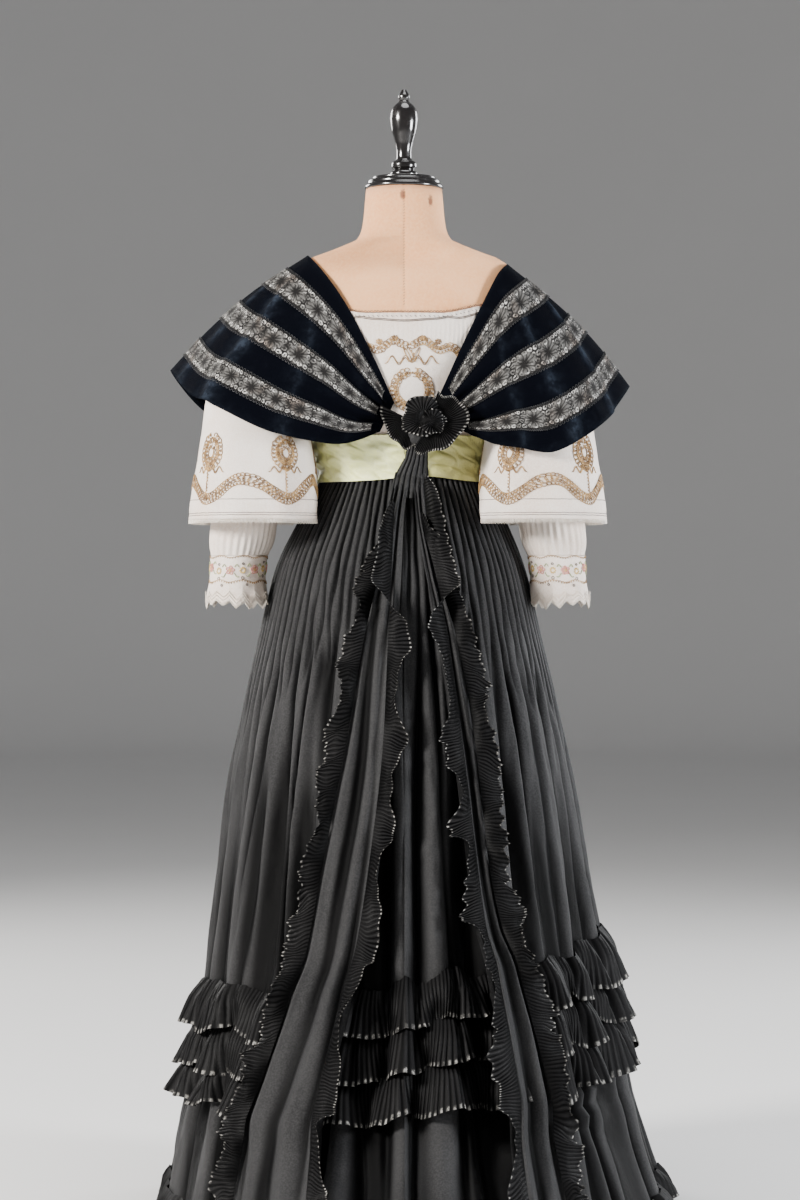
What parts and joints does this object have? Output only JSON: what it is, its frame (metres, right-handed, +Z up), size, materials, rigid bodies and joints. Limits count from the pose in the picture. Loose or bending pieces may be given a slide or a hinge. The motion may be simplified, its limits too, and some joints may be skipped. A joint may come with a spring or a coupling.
{
  "type": "evening dress on a limbless dress form",
  "caption": "Trained evening dress with velvet bertha, bell sleeves, satin sash, sash ends and frilled skirt, standing on a limbless dress form with pole and foot.",
  "frame": {"origin": "centre of the stand foot's underside, on the floor", "axes": "+Z up; -Y towards the back of the dress and its train; +X to the right for someone looking at the back"},
  "size_m": [0.7745, 1.0425, 1.6106],
  "materials": {
    "linen": "matt plain woven linen, slightly aged",
    "gloss_black_wood": "turned wood, gloss black varnish",
    "black_iron": "satin black",
    "cream_cloth": "fine cream cloth with gold soutache embroidery",
    "cream_lace": "cream needle lace with coloured embroidery",
    "dark_edging": "dark picot and beading",
    "lime_satin": "crushed silk satin",
    "black_silk": "soft matt silk",
    "navy_velvet": "silk velvet",
    "black_lace": "black lace over a pale floral ground"
  },
  "bodies": {
    "root": {"form_torso": "linen", "form_neck_cap": "gloss_black_wood", "form_finial": "gloss_black_wood", "stand_pole": "black_iron", "stand_foot": "black_iron", "bodice_back": "cream_cloth", "bodice_front": "cream_cloth", "neck_edging_back": "dark_edging", "neck_edging_front": "dark_edging", "sash_left": "lime_satin", "sash_right": "lime_satin", "sash_knot": "black_silk", "rosette_large": "black_silk", "rosette_left": "black_silk", "bertha_left": "navy_velvet", "bertha_right": "navy_velvet", "lace_band_left_1": "black_lace", "lace_band_left_2": "black_lace", "lace_band_left_3": "black_lace", "lace_band_right_1": "black_lace", "lace_band_right_2": "black_lace", "lace_band_right_3": "black_lace", "sleeve_left_lower": "cream_cloth", "sleeve_left_bell": "cream_cloth", "cuff_left": "cream_lace", "sleeve_right_lower": "cream_cloth", "sleeve_right_bell": "cream_cloth", "cuff_right": "cream_lace", "skirt_back_left": "black_silk", "skirt_back_right": "black_silk", "skirt_side_left": "black_silk", "skirt_side_right": "black_silk", "skirt_side_front_left": "black_silk", "skirt_side_front_right": "black_silk", "skirt_front": "black_silk", "tier_frill_upper": "black_silk", "tier_frill_middle": "black_silk", "tier_frill_lower": "black_silk", "hem_frill": "black_silk", "streamer_left": "black_silk", "streamer_right": "black_silk", "ruffle_left_outer": "black_silk", "ruffle_left_inner": "black_silk", "ruffle_right_inner": "black_silk", "ruffle_right_outer": "black_silk"}
  },
  "joints": []
}
